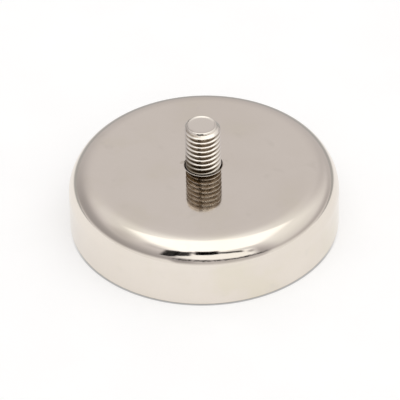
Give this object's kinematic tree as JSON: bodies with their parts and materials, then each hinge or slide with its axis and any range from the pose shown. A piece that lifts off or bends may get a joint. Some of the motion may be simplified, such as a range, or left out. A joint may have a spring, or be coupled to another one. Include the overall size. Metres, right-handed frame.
{
  "type": "magnet fishing magnet",
  "caption": "Round nickel-plated pot magnet with a rolled back edge and a central threaded stud that takes a rope's eye nut.",
  "frame": {"origin": "centre of the clamping face, in the plane of the cup's rim", "axes": "+Z along the stud, away from the clamping face"},
  "size_m": [0.075, 0.075, 0.0327],
  "materials": {
    "pot_nickel": "bright nickel plate over turned and polished steel",
    "stud_nickel": "bright nickel plate over a rolled steel thread",
    "magnet_nickel": "satin nickel plate over sintered neodymium",
    "glue": "cured structural glue",
    "potting_resin": "cast black epoxy, slightly sunken"
  },
  "bodies": {
    "root": {"steel_pot": "pot_nickel", "threaded_stud": "stud_nickel", "disc_magnet": "magnet_nickel", "magnet_glue_layer": "glue", "potting_ring": "potting_resin"}
  },
  "joints": []
}
